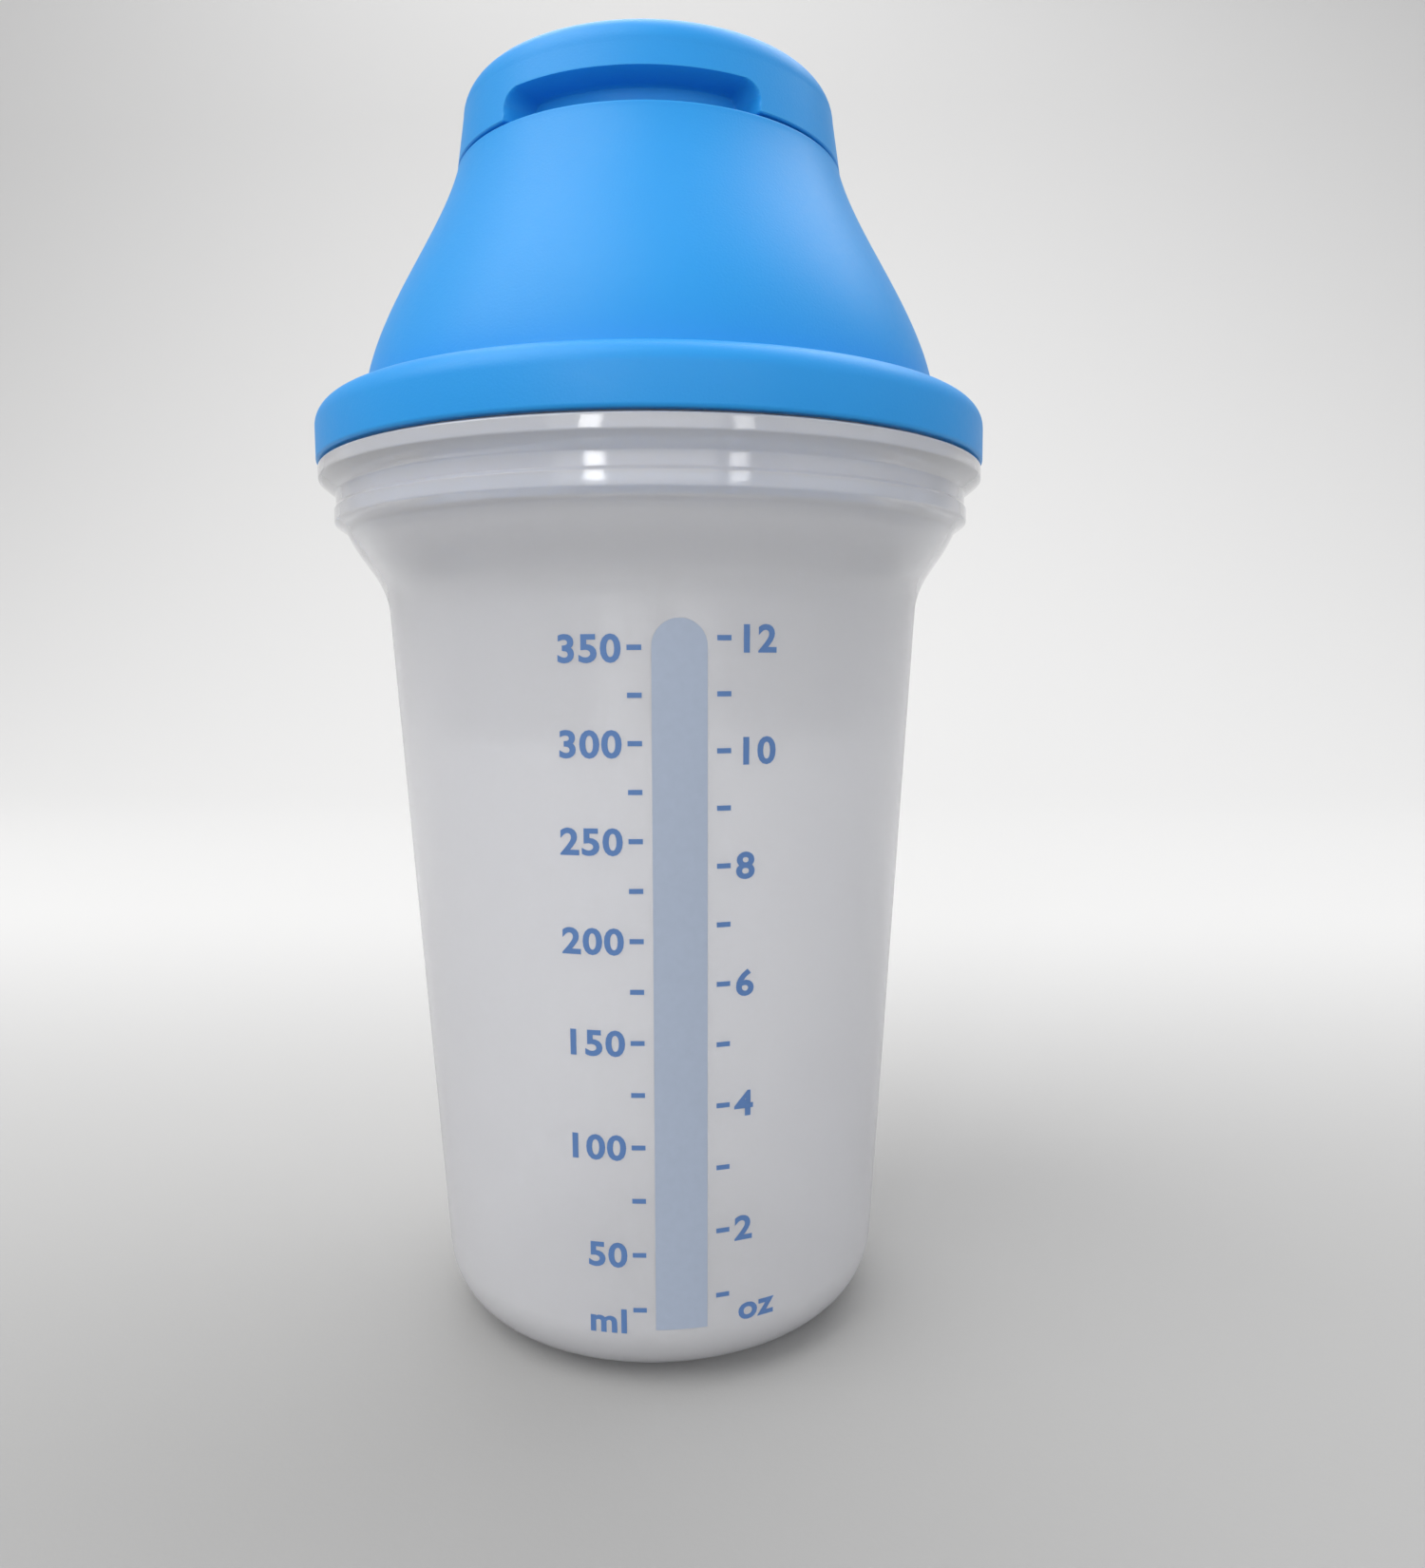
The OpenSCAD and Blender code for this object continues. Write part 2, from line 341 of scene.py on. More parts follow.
def tinted(tree, shader, dark, light, scale, label):
    """Base colour drifting between two close tints, as pigment does in a moulding."""
    mix = tree.nodes.new("ShaderNodeMix")
    mix.label = label
    mix.data_type = "RGBA"
    mix.inputs["A"].default_value = (*dark, 1)
    mix.inputs["B"].default_value = (*light, 1)
    tree.links.new(noise_on(tree, label, scale), mix.inputs["Factor"])
    tree.links.new(mix.outputs["Result"], shader.inputs["Base Color"])
    return mix


# %% [markdown]
# ### Blue lid plastic
# Pigmented polypropylene: strong colour just under a satin skin. A little subsurface light
# softens the edges, as it does on the real lid, and the grain breaks up the highlight.

# %% Lid plastic
def lid_plastic():
    mat, tree, shader = material("lid_plastic", (0.024, 0.31, 0.73), 0.42,
                                 Specular_IOR_Level=0.28, Subsurface_Weight=0.12,
                                 Subsurface_Scale=0.002)
    shader.inputs["Subsurface Radius"].default_value = (0.4, 0.8, 1.4)
    tinted(tree, shader, (0.016, 0.28, 0.7), (0.021, 0.3, 0.74), 60, "pigment drift")
    rough = spread(tree, noise_on(tree, "skin", 900), 0.38, 0.47, "satin skin")
    tree.links.new(rough, shader.inputs["Roughness"])
    grain(tree, shader, 3200, 0.02, "spark-eroded grain")
    return mat


def soft_plastic():
    mat, tree, shader = material("soft_seal", (0.03, 0.22, 0.62), 0.55,
                                 Specular_IOR_Level=0.35, Subsurface_Weight=0.2,
                                 Subsurface_Scale=0.003)
    tinted(tree, shader, (0.028, 0.21, 0.6), (0.034, 0.235, 0.65), 200, "pigment drift")
    rough = spread(tree, noise_on(tree, "skin", 1500), 0.48, 0.62, "dull skin")
    tree.links.new(rough, shader.inputs["Roughness"])
    grain(tree, shader, 4000, 0.01, "fine grain")
    return mat


def pin_plastic():
    mat, tree, shader = material("pin_plastic", (0.05, 0.33, 0.8), 0.25,
                                 Specular_IOR_Level=0.5)
    tinted(tree, shader, (0.03, 0.28, 0.7), (0.04, 0.31, 0.75), 300, "pigment drift")
    rough = spread(tree, noise_on(tree, "wear", 1200), 0.2, 0.34, "rubbed skin")
    tree.links.new(rough, shader.inputs["Roughness"])
    return mat


# %% [markdown]
# ### Frosted plastic
# Natural polypropylene lets light through but scatters it, so things close behind the wall
# show and things further back fade. Rough transmission gives that by itself. The side wall is
# grained and the collar above it is polished, so roughness follows height on the piece.

# %% Frosted plastic
def frosted_plastic(name, frosted, polished, clear):
    mat, tree, shader = material(name, (0.95, 0.955, 0.975), frosted, IOR=1.49,
                                 Transmission_Weight=clear)
    place = tree.nodes.new("ShaderNodeTexCoord")
    split = tree.nodes.new("ShaderNodeSeparateXYZ")
    tree.links.new(place.outputs["Object"], split.inputs[0])
    height = node(tree, "ShaderNodeMapRange", "grained below, polished above",
                  From_Min=(BODY_H + 1) * MM, From_Max=(BODY_H + 5) * MM,
                  To_Min=frosted, To_Max=polished)
    height.interpolation_type = "SMOOTHSTEP"
    tree.links.new(split.outputs["Z"], height.inputs["Value"])
    uneven = spread(tree, noise_on(tree, "flow marks", 70), -0.02, 0.02, "uneven gloss")
    total = node(tree, "ShaderNodeMath", "roughness")
    tree.links.new(height.outputs["Result"], total.inputs[0])
    tree.links.new(uneven, total.inputs[1])
    tree.links.new(total.outputs[0], shader.inputs["Roughness"])
    tinted(tree, shader, (0.945, 0.95, 0.985), (0.965, 0.97, 0.995), 40, "milkiness")
    grain(tree, shader, 2600, 0.006, "frosting")
    return mat


# %% [markdown]
# ### Printed ink
# Screen-printed ink is a thin, slightly raised film with a soft sheen and small pinholes of
# tone where the mesh of the screen left less ink.

# %% Ink
def ink(name, colour):
    mat, tree, shader = material(name, colour, 0.4, Specular_IOR_Level=0.45)
    dark = tuple(0.95 * c for c in colour)
    light = tuple(min(1, 1.04 * c) for c in colour)
    tinted(tree, shader, dark, light, 900, "ink laydown")
    rough = spread(tree, noise_on(tree, "screen", 2500), 0.34, 0.5, "ink sheen")
    tree.links.new(rough, shader.inputs["Roughness"])
    return mat


BLUE = lid_plastic()
SOFT = soft_plastic()
PIN = pin_plastic()
FROSTED = frosted_plastic("frosted_plastic", 0.26, 0.06, 0.59)
NATURAL = frosted_plastic("wheel_plastic", 0.3, 0.25, 0.5)
STRIPE_INK = ink("stripe_ink", (0.36, 0.42, 0.53))
SCALE_INK = ink("scale_ink", (0.09, 0.19, 0.42))
print("materials:", [m.name for m in bpy.data.materials])

# %% [markdown]
# ## Tumbler
# The vessel is injection moulded with a nearly even wall. From the table up: a foot ring with
# a shallow hollow inside it, a wide rounded corner, the tapered side, the shoulder, a collar,
# the flange that the lid comes down on, and a rim with a snap bead.

# %% Tumbler
outside = rounded([
    (0, 1.2, 0), (19.8, 1.2, 0.5), (21, 0, 0.5), (BASE_R, 0, 10), (BODY_R, BODY_H, 0)], 12)
outside += curve(SHOULDER)[1:-1]
outside += rounded([
    (COLLAR_R - WALL, BODY_H + 11.1, 0), (COLLAR_R, BODY_H + 12.2, 0.4),
    (COLLAR_R, BODY_H + 14, 0.3), (COLLAR_R - 0.3, BODY_H + 14.4, 0.3),
    (COLLAR_R - 0.3, BODY_H + 16.3, 0.4), (FLANGE_R, FLANGE_H - 1.9, 0.4),
    (FLANGE_R, FLANGE_H, 0.35), (RIM_R, FLANGE_H, 0.4), (RIM_R, FLANGE_H + 4, 0.3),
    (RIM_R + 0.35, FLANGE_H + 4.6, 0.3), (RIM_R, FLANGE_H + 5.4, 0.3),
    (RIM_R, RIM_H, 0.5), (MOUTH_R, RIM_H, 0.5), (MOUTH_R, LEDGE_H, 0)])
inner_shoulder = curve(SHOULDER, WALL)
inside = list(reversed(inner_shoulder))
inside += rounded([
    (inner_shoulder[0].x, inner_shoulder[0].y, 0), (BASE_R - WALL, FLOOR_H, 8),
    (0, FLOOR_H, 0)], 12)[1:]
tumbler = turned("tumbler_shell", outside + inside)
finish_piece(tumbler, FROSTED, "tumbler", "tumbler")

# %% [markdown]
# ## Blending wheel
# The wheel drops into the neck and rests on the shoulder. Its sloping rim has four half-moon
# windows, and four paddles hang from spokes to break up the powder. Spoke and paddle are the
# same all round, so Geometry Nodes turn copies of one about the axis. The windows' cutters
# are turned by the same tree.

# %% A tree that turns copies about the axis
def turn_tree():
    tree = bpy.data.node_groups.new("copies_round_the_axis", "GeometryNodeTree")
    face = tree.interface
    face.new_socket("Geometry", in_out="INPUT", socket_type="NodeSocketGeometry")
    face.new_socket("Copies", in_out="INPUT", socket_type="NodeSocketInt")
    face.new_socket("First Turn", in_out="INPUT", socket_type="NodeSocketFloat")
    face.new_socket("Geometry", in_out="OUTPUT", socket_type="NodeSocketGeometry")
    nodes = tree.nodes
    link = tree.links.new
    given = nodes.new("NodeGroupInput")
    result = nodes.new("NodeGroupOutput")
    points = nodes.new("GeometryNodePoints")
    link(given.outputs["Copies"], points.inputs["Count"])
    index = nodes.new("GeometryNodeInputIndex")
    step = nodes.new("ShaderNodeMath")
    step.operation = "DIVIDE"
    step.inputs[0].default_value = 2 * math.pi
    link(given.outputs["Copies"], step.inputs[1])
    angle = nodes.new("ShaderNodeMath")
    angle.operation = "MULTIPLY_ADD"
    link(index.outputs[0], angle.inputs[0])
    link(step.outputs[0], angle.inputs[1])
    link(given.outputs["First Turn"], angle.inputs[2])
    turn = nodes.new("ShaderNodeCombineXYZ")
    link(angle.outputs[0], turn.inputs["Z"])
    copies = nodes.new("GeometryNodeInstanceOnPoints")
    link(points.outputs[0], copies.inputs["Points"])
    link(given.outputs["Geometry"], copies.inputs["Instance"])
    link(turn.outputs[0], copies.inputs["Rotation"])
    real = nodes.new("GeometryNodeRealizeInstances")
    link(copies.outputs[0], real.inputs[0])
    paint = nodes.new("GeometryNodeSetMaterial")
    paint.inputs["Material"].default_value = NATURAL
    link(real.outputs[0], paint.inputs["Geometry"])
    link(paint.outputs[0], result.inputs[0])
    return tree


TURN_TREE = turn_tree()


def with_tree(obj, tree, **values):
    """Runs a node tree on an object. Inputs are named, and set by their identifier."""
    modifier = obj.modifiers.new(tree.name, "NODES")
    modifier.node_group = tree
    for item in tree.interface.items_tree:
        if item.item_type == "SOCKET" and item.in_out == "INPUT":
            key = item.name.lower().replace(" ", "_")
            if key in values:
                modifier[item.identifier] = values[key]
    return settle(obj)


def all_round(obj, first=TURN):
    return with_tree(obj, TURN_TREE, copies=4, first_turn=first)


# %% Blending wheel
DISC_H = 107.7
DISC_TOP = 109.1
WHEEL_WALL = 1.4
RING_IN = 31.0
PADDLE_IN = 9.0
lie = WALL + GAP
rim_out = curve(SHOULDER, lie, 0.17, 0.86, 16)
rim_in = curve(SHOULDER, lie + WHEEL_WALL, 0.3, 0.86, 14)
rim = turned("wheel_rim", [Vector((RING_IN, DISC_H)), Vector((rim_out[0].x, DISC_H))]
             + rim_out + list(reversed(rim_in))
             + [Vector((rim_in[0].x, DISC_TOP)), Vector((RING_IN, DISC_TOP))], ring=True)

window_w = 13.6
window_h = 3.5
arch_r = (window_w ** 2 / 4 + window_h ** 2) / (2 * window_h)
half_arch = math.degrees(math.asin(window_w / 2 / arch_r))
arch = arc((0, DISC_TOP + window_h - arch_r), arch_r, 90 - half_arch, 90 + half_arch, 24)
window = plate("window_cutter", arch, BODY_R - RING_IN + 12, edge=0)
move(window, Matrix.Translation((0, -BODY_R, 0)))
cut(rim, all_round(window, TURN + math.pi / 4))

reach_low = body_at(PADDLE_LOW) - WALL - 0.75
reach_top = body_at(BODY_H) - WALL - 0.75
paddle = plate("paddle", rounded([
    (PADDLE_IN, DISC_TOP - 0.1, 0), (PADDLE_IN, PADDLE_LOW, 5), (reach_low, PADDLE_LOW, 5),
    (reach_top, BODY_H, 0.5), (reach_top - 1, DISC_TOP - 0.1, 0)], 8), WHEEL_WALL, 0.3)
SPOKE_STEP = 0.06      # spokes lie just inside the disc, so no two faces share a plane
spoke_low = DISC_H + SPOKE_STEP
spoke_top = DISC_TOP - SPOKE_STEP
spoke = plate("spoke", [(2, spoke_low), (RING_IN + 1.5, spoke_low), (RING_IN + 1.5, spoke_top),
                        (2, spoke_top)], 3.2, 0.25)
blades = all_round(joined("blades", paddle, spoke))
hub = turned("hub", rounded([(0, DISC_H, 0), (8, DISC_H, 0.4), (8, DISC_TOP, 0.4),
                             (0, DISC_TOP, 0)]), 96)
wheel = joined("blending_wheel_mould", rim, blades, hub)
finish_piece(wheel, NATURAL, "wheel", "blending_wheel")

# %% [markdown]
# ## Lid
# The lid is one moulding with two skirts. The outer one covers the rim, and the plug inside
# it seals against the neck. Above them the dome narrows in an S curve to a flat deck, which
# carries the spout, two low ribs and the ears of the hinge.

# %% Lid shell
ROUND_R = 3.2
bend = (SKIRT_R - ROUND_R, 130.2)
ledge_h = bend[1] + ROUND_R
ceiling = RIM_H + GAP
under = DECK_H - LID_WALL
plug_r = MOUTH_R - GAP
plug_in = plug_r - LID_WALL
skirt_in = RIM_R + 0.75
foot = [Vector((43.2, ledge_h)), Vector((42.1, ledge_h)), cubic(DOME, 0.017), cubic(DOME, 0.05)]
shell_line = rounded([(0, DECK_H, 0), (DECK_R, DECK_H, 0.4), (28.05, 166.8, 0)])[:-1]
shell_line += reversed(curve(DOME, 0, 0.07, 1, 48))
shell_line += reversed(curve(foot, 0, 0, 1, 10))
shell_line += reversed(arc(bend, ROUND_R, 0, 90, 16))
shell_line += rounded([
    (SKIRT_R, 129, 0), (SKIRT_R, SKIRT_H, 0.5), (skirt_in, SKIRT_H, 0.4),
    (skirt_in, ceiling, 0.5), (plug_r, ceiling, 0.5), (plug_r, ring_high.z + 0.1, 0.15),
    (plug_r - 0.9, ring_high.z + 0.1, 0.1), (plug_r - 0.9, ring_low.z - 0.1, 0.1),
    (plug_r, ring_low.z - 0.1, 0.15), (plug_r, PLUG_H + 1, 0.5), (plug_r - 0.5, PLUG_H, 0.3),
    (plug_in, PLUG_H, 0.5), (plug_in, ceiling, 0.5), (DOME[0][0] - LID_WALL, ceiling, 0.4),
    (40.15, ceiling + 2, 0)])[1:-1]
shell_line += [p for p in curve(DOME, LID_WALL, 0, 1, 40) if p.y < under - 0.9]
shell_line += rounded([(26.8, under - 1.4, 0), (26.4, under, 0.8), (0, under, 0)])[1:]
shell = turned("lid_shell", shell_line)
bore = turned("bore", [(0, under - 3), (SPOUT_R, under - 3), (SPOUT_R, DECK_H + 6),
                       (0, DECK_H + 6)], 96, centre=(0, SPOUT_Y))
cut(shell, bore)
print(f"lid shell: {len(shell.data.polygons)} faces")

# %% Spout, ribs and hinge ears
spout = turned("spout", rounded([
    (SPOUT_R, under + 0.3, 0.1), (SPOUT_R + 1.3, under + 0.3, 0.1),
    (SPOUT_R + 1.3, DECK_H + 4, 0.5), (SPOUT_R, DECK_H + 4, 0.5)], ring=True),
    96, ring=True, centre=(0, SPOUT_Y))


def rib(side):
    """Low curved rib that steadies one side of the closed cap."""
    ends = (-27, 22) if side > 0 else (158, 207)
    outline = arc((0, 0), 25.7, *ends, 16) + arc((0, 0), 24.4, *reversed(ends), 16)
    bar = plate("rib", outline, 2.4, 0.4)
    return move(bar, Matrix.Translation((0, 0, DECK_H + 0.8)) @ Matrix.Rotation(
        -math.pi / 2, 4, "X") @ Matrix.Scale(-1, 4, (0, 0, 1)))


KNUCKLE_R = 2.2


def ear(x):
    """Upright ear on the deck, rounded over the pin."""
    outline = arc((HINGE_Y, HINGE_H), KNUCKLE_R, 0, 180, 16)
    outline += [Vector((HINGE_Y - KNUCKLE_R, DECK_H - 0.5)),
                Vector((HINGE_Y + KNUCKLE_R - 0.3, DECK_H - 0.5))]
    made = plate("ear", outline, 3, 0.3)
    return move(made, Matrix.Translation((x, 0, 0)) @ Matrix.Rotation(math.pi / 2, 4, "Z"))


def cross_bore(r):
    """Cylinder along X through the hinge."""
    outline = arc((HINGE_Y, HINGE_H), r, 0, 352.5, 47)
    made = plate("cross_bore", outline, 40, 0)
    return move(made, Matrix.Rotation(math.pi / 2, 4, "Z"))


ears = [cut(ear(x), cross_bore(PIN_R)) for x in (-8.1, 8.1)]
lid = joined("lid_moulding", shell, spout, rib(1), rib(-1), *ears)
finish_piece(lid, BLUE, "lid", "lid_dome")

# %% [markdown]
# ## Soft ring and hinge pin
# The ring sits in a groove of the plug wall, and the pin is pressed through the ears. Both
# are small turned parts. The pin is turned upright, then laid along X.

# %% Soft ring and hinge pin
ring_mid = (ring_low.z + ring_high.z) / 2
ring_in = plug_r - 0.9
ring = turned("soft_ring", rounded([
    (ring_in, ring_low.z, 0.2), (plug_r - 0.1, ring_low.z, 0.2), (ring_high.y, ring_mid, 0.5),
    (plug_r - 0.1, ring_high.z, 0.2), (ring_in, ring_high.z, 0.2)], ring=True), ring=True)
finish_piece(ring, SOFT, "lid", "lid_gasket")

pin = turned("pin", rounded([
    (0, pin_low.x, 0), (PIN_R, pin_low.x, 0.25), (PIN_R, pin_high.x, 0.25),
    (0, pin_high.x, 0)]), 48)
move(pin, Matrix.Translation((0, HINGE_Y, HINGE_H)) @ Matrix.Rotation(math.pi / 2, 4, "Y"))
finish_piece(pin, PIN, "lid", "hinge_pin")

# %% [markdown]
# ## Flip cap
# The cap is a shallow cup with a pocket pushed into its front wall, where a fingertip lifts
# it, and a slot at the back for the hinge. A boolean would leave long thin faces round the
# pocket. Two sheets of points, outer and inner, share one grid that is finest at the pocket's
# edge. The pocket is pressed into both, the slot's faces are left out, and the sheets are
# zipped together along their open edges.

# %% Flip cap sheets
RECESS_HALF = 16.5
RECESS_TOP = DECK_H + 4.1
RECESS_R = 22.8
RECESS_ROUND = 2.0
RECESS_EDGE = 0.35     # half the width over which the pocket's edge rolls in
NOTCH = 157.7          # degrees from the front at which the hinge slot starts
NOTCH_H = 176.3
BOSS_H = DECK_H + 5.3
EDGE = (22.8, 174.8)   # centre of the rounding between side and top
EDGE_R = 4.1


def outline_distance(x, z, grow):
    """How far a point is outside the pocket's rounded outline, which is open below."""
    qx = abs(x) - (RECESS_HALF + grow - RECESS_ROUND)
    qz = z - (RECESS_TOP + grow - RECESS_ROUND)
    return math.hypot(max(qx, 0), max(qz, 0)) + min(max(qx, qz), 0) - RECESS_ROUND


def pressed(r, z, angle, grow):
    """Radius of the wall at this point, once the pocket is pressed in."""
    if math.cos(angle) < 0.3 or z > EDGE[1] + 0.5:
        return r
    t = 0.5 - outline_distance(r * math.sin(angle), z, grow) / (2 * RECESS_EDGE)
    t = min(max(t, 0), 1)
    t = t * t * (3 - 2 * t)
    return r + (min(r, RECESS_R - grow) - r) * t


def steps_to(marks):
    """Values that run through (mark, step) pairs, each stretch cut into even steps."""
    values = [marks[0][0]]
    for (low, step), (high, _) in zip(marks, marks[1:]):
        count = max(1, round((high - low) / step))
        values += [low + (high - low) * (i + 1) / count for i in range(count)]
    return values


SIDE = steps_to([(0.35, 0.3), (1.6, 0.12), (5.6, 0.12), (7.1, 0)])
half_turn = steps_to([(0, 1.5), (28.5, 0.25), (40, 1.5), (NOTCH, 1.5), (180, 0)])
ANGLES = [math.radians(a) for a in half_turn + [-a for a in reversed(half_turn[1:-1])]]


def cap_line(wall):
    """Half section of the cap from its lower edge to the middle of its top."""
    lower = arc((CAP_R - 0.35, CAP_LOW + 0.35), 0.35, -90, 0, 4)[:-1]
    side = [Vector((CAP_R - 1.0 * h / 7.1, CAP_LOW + h)) for h in SIDE]
    over = arc(EDGE, EDGE_R - wall, 0, 90, 14)[1:]
    top = EDGE[1] + EDGE_R - wall if wall else CAP_TOP
    flat = [Vector((EDGE[0] * (1 - t), over[-1].y + (top - over[-1].y) * (1 - (1 - t) ** 2)))
            for t in (i / 10 for i in range(1, 11))]
    if wall:
        lower = [Vector((CAP_R - wall, p.y)) for p in lower]
        side = [Vector((p.x - wall, p.y)) for p in side]
    return lower + side + over + flat


def cap_sheet(wall, grow):
    """Rows of points round the cap. The last row is the single pole."""
    rows = []
    for r, z in cap_line(wall)[:-1]:
        rows.append([(pressed(r, z, a, grow) * math.sin(a),
                      -pressed(r, z, a, grow) * math.cos(a), z) for a in ANGLES])
    rows.append([(0, 0, cap_line(wall)[-1].y)])
    return rows


def zipped(name, outer, inner, keep):
    """Closes two sheets on one grid into a shell. keep says which of its cells are there."""
    verts = []
    layers = []
    for sheet in (outer, inner):
        layer = []
        for row in sheet:
            layer.append([len(verts) + i for i in range(len(row))])
            verts += row
        layers.append(layer)
    count = len(ANGLES)
    faces = []
    edges = {}
    for i in range(len(outer) - 1):
        for k in range(count):
            if not keep(i, k):
                continue
            n = (k + 1) % count
            high = (i + 1, n), (i + 1, k)
            if i == len(outer) - 2:
                high = ((i + 1, 0),)
            cell = ((i, k), (i, n), *high)
            for layer in layers:
                faces.append([layer[a][b] for a, b in cell])
            for a, b in zip(cell, cell[1:] + cell[:1]):
                edges[frozenset((a, b))] = edges.get(frozenset((a, b)), 0) + 1
    for edge, used in edges.items():
        if used == 1:
            (a, b), (c, d) = edge
            faces.append([layers[0][a][b], layers[0][c][d], layers[1][c][d], layers[1][a][b]])
    return new_object(name, verts, faces)


CAP_WALL = 1.7
heights = [p.y for p in cap_line(0)]


def in_slot(i, k):
    middle = (half_turn + [360 - a for a in reversed(half_turn[1:-1])])[k] + 0.5
    return NOTCH < middle < 360 - NOTCH and heights[i + 1] < NOTCH_H


cap_shell = zipped("cap_shell", cap_sheet(0, 0), cap_sheet(CAP_WALL, CAP_WALL - 0.3),
                   lambda i, k: not in_slot(i, k))
bm = bmesh.new()
bm.from_mesh(cap_shell.data)
bmesh.ops.delete(bm, geom=[v for v in bm.verts if not v.link_faces], context="VERTS")
bm.to_mesh(cap_shell.data)
bm.free()
print(f"cap shell: {len(cap_shell.data.polygons)} faces")

# %% Knuckle and boss
knuckle_line = arc((HINGE_Y, HINGE_H), KNUCKLE_R, -180, 0, 20)
knuckle_line += [Vector((HINGE_Y + 1.4, HINGE_H + 1.8)), Vector((HINGE_Y + 1.4, NOTCH_H + 0.9)),
                 Vector((HINGE_Y - KNUCKLE_R, NOTCH_H + 0.9))]
knuckle = plate("knuckle", knuckle_line, 12.6, 0.3)
move(knuckle, Matrix.Rotation(math.pi / 2, 4, "Z"))
cut(knuckle, cross_bore(PIN_R + 0.06))
boss = turned("boss", rounded([(0, BOSS_H, 0), (4, BOSS_H, 0.3), (4, 177.9, 0), (0, 177.9, 0)]),
              64, centre=(0, SPOUT_Y))
cap = joined("flip_cap_moulding", cap_shell, knuckle, boss)
finish_piece(cap, BLUE, "cap", "flip_cap", 40)

# %% [markdown]
# ## Spout stopper
# A soft plug pressed over the boss inside the cap. Its lower half closes the spout, and its
# collar lands on the spout's lip.

# %% Spout stopper
plug_fit = SPOUT_R - 0.3
stopper = turned("stopper", rounded([
    (0, stopper_low.z, 0), (plug_fit, stopper_low.z, 0.8), (plug_fit, DECK_H + 4.3, 0.2),
    (SPOUT_R + 1.3, DECK_H + 4.3, 0.4), (SPOUT_R + 1.3, BOSS_H + 1, 0.5),
    (5.6, stopper_high.z, 0.5), (4, stopper_high.z, 0.2), (4, BOSS_H, 0), (0, BOSS_H, 0)]),
    96, centre=(0, SPOUT_Y))
finish_piece(stopper, SOFT, "cap", "spout_stopper")

# %% [markdown]
# ## Printed scale
# Every tick stands where that much drink would reach, so its height follows from the inside
# of the tumbler: the floor, the rounded corner and the tapered wall. The heights are worked
# out by filling the vessel in thin slices.

# %% Heights of the ticks
def inside_at(z):
    """Inner radius at height z, with the rounded corner at the floor."""
    wall = body_at(z) - WALL
    corner = 8.0
    if z < FLOOR_H + corner:
        wall -= corner - math.sqrt(corner ** 2 - (FLOOR_H + corner - z) ** 2)
    return wall


def level(volume):
    """Height that a volume in millilitres reaches."""
    z = FLOOR_H
    slice_h = 0.02
    left = volume * 1000
    while left > 0:
        left -= math.pi * inside_at(z) ** 2 * slice_h
        z += slice_h
    return z


OUNCE = 29.5735
ML_TICKS = [level(v) for v in range(25, 351, 25)]
OZ_TICKS = [level(v * OUNCE) for v in range(1, 13)]
print("ml ticks, mm:", [round(z, 1) for z in ML_TICKS])
print("oz ticks, mm:", [round(z, 1) for z in OZ_TICKS])

# %% [markdown]
# The print is laid out flat first, with x along the wall and z up it. One small tree bends
# any flat artwork round the tapered wall, and a second one places a tick on every point that
# it is given and then bends them.

# %% Trees that place ticks and bend artwork round the wall
def bend_tree():
    tree = bpy.data.node_groups.new("bend_round_the_wall", "GeometryNodeTree")
    face = tree.interface
    face.new_socket("Geometry", in_out="INPUT", socket_type="NodeSocketGeometry")
    for name in ("Base Radius", "Taper", "Turn"):
        face.new_socket(name, in_out="INPUT", socket_type="NodeSocketFloat")
    face.new_socket("Material", in_out="INPUT", socket_type="NodeSocketMaterial")
    face.new_socket("Geometry", in_out="OUTPUT", socket_type="NodeSocketGeometry")
    nodes = tree.nodes
    link = tree.links.new
    given = nodes.new("NodeGroupInput")
    result = nodes.new("NodeGroupOutput")
    place = nodes.new("GeometryNodeInputPosition")
    flat = nodes.new("ShaderNodeSeparateXYZ")
    link(place.outputs[0], flat.inputs[0])

    def maths(operation, *values):
        made = nodes.new("ShaderNodeMath")
        made.operation = operation
        for socket, value in zip(made.inputs, values):
            if isinstance(value, (int, float)):
                socket.default_value = value
            else:
                link(value, socket)
        return made.outputs[0]

    radius = maths("MULTIPLY_ADD", flat.outputs["Z"], given.outputs["Taper"],
                   given.outputs["Base Radius"])
    angle = maths("ADD", maths("DIVIDE", flat.outputs["X"], radius), given.outputs["Turn"])
    proud = maths("SUBTRACT", radius, flat.outputs["Y"])
    bent = nodes.new("ShaderNodeCombineXYZ")
    link(maths("MULTIPLY", proud, maths("SINE", angle)), bent.inputs["X"])
    link(maths("MULTIPLY", maths("MULTIPLY", proud, maths("COSINE", angle)), -1.0),
         bent.inputs["Y"])
    link(flat.outputs["Z"], bent.inputs["Z"])
    moved = nodes.new("GeometryNodeSetPosition")
    link(given.outputs["Geometry"], moved.inputs["Geometry"])
    link(bent.outputs[0], moved.inputs["Position"])
    paint = nodes.new("GeometryNodeSetMaterial")
    link(moved.outputs[0], paint.inputs["Geometry"])
    link(given.outputs["Material"], paint.inputs["Material"])
    link(paint.outputs[0], result.inputs[0])
    return tree


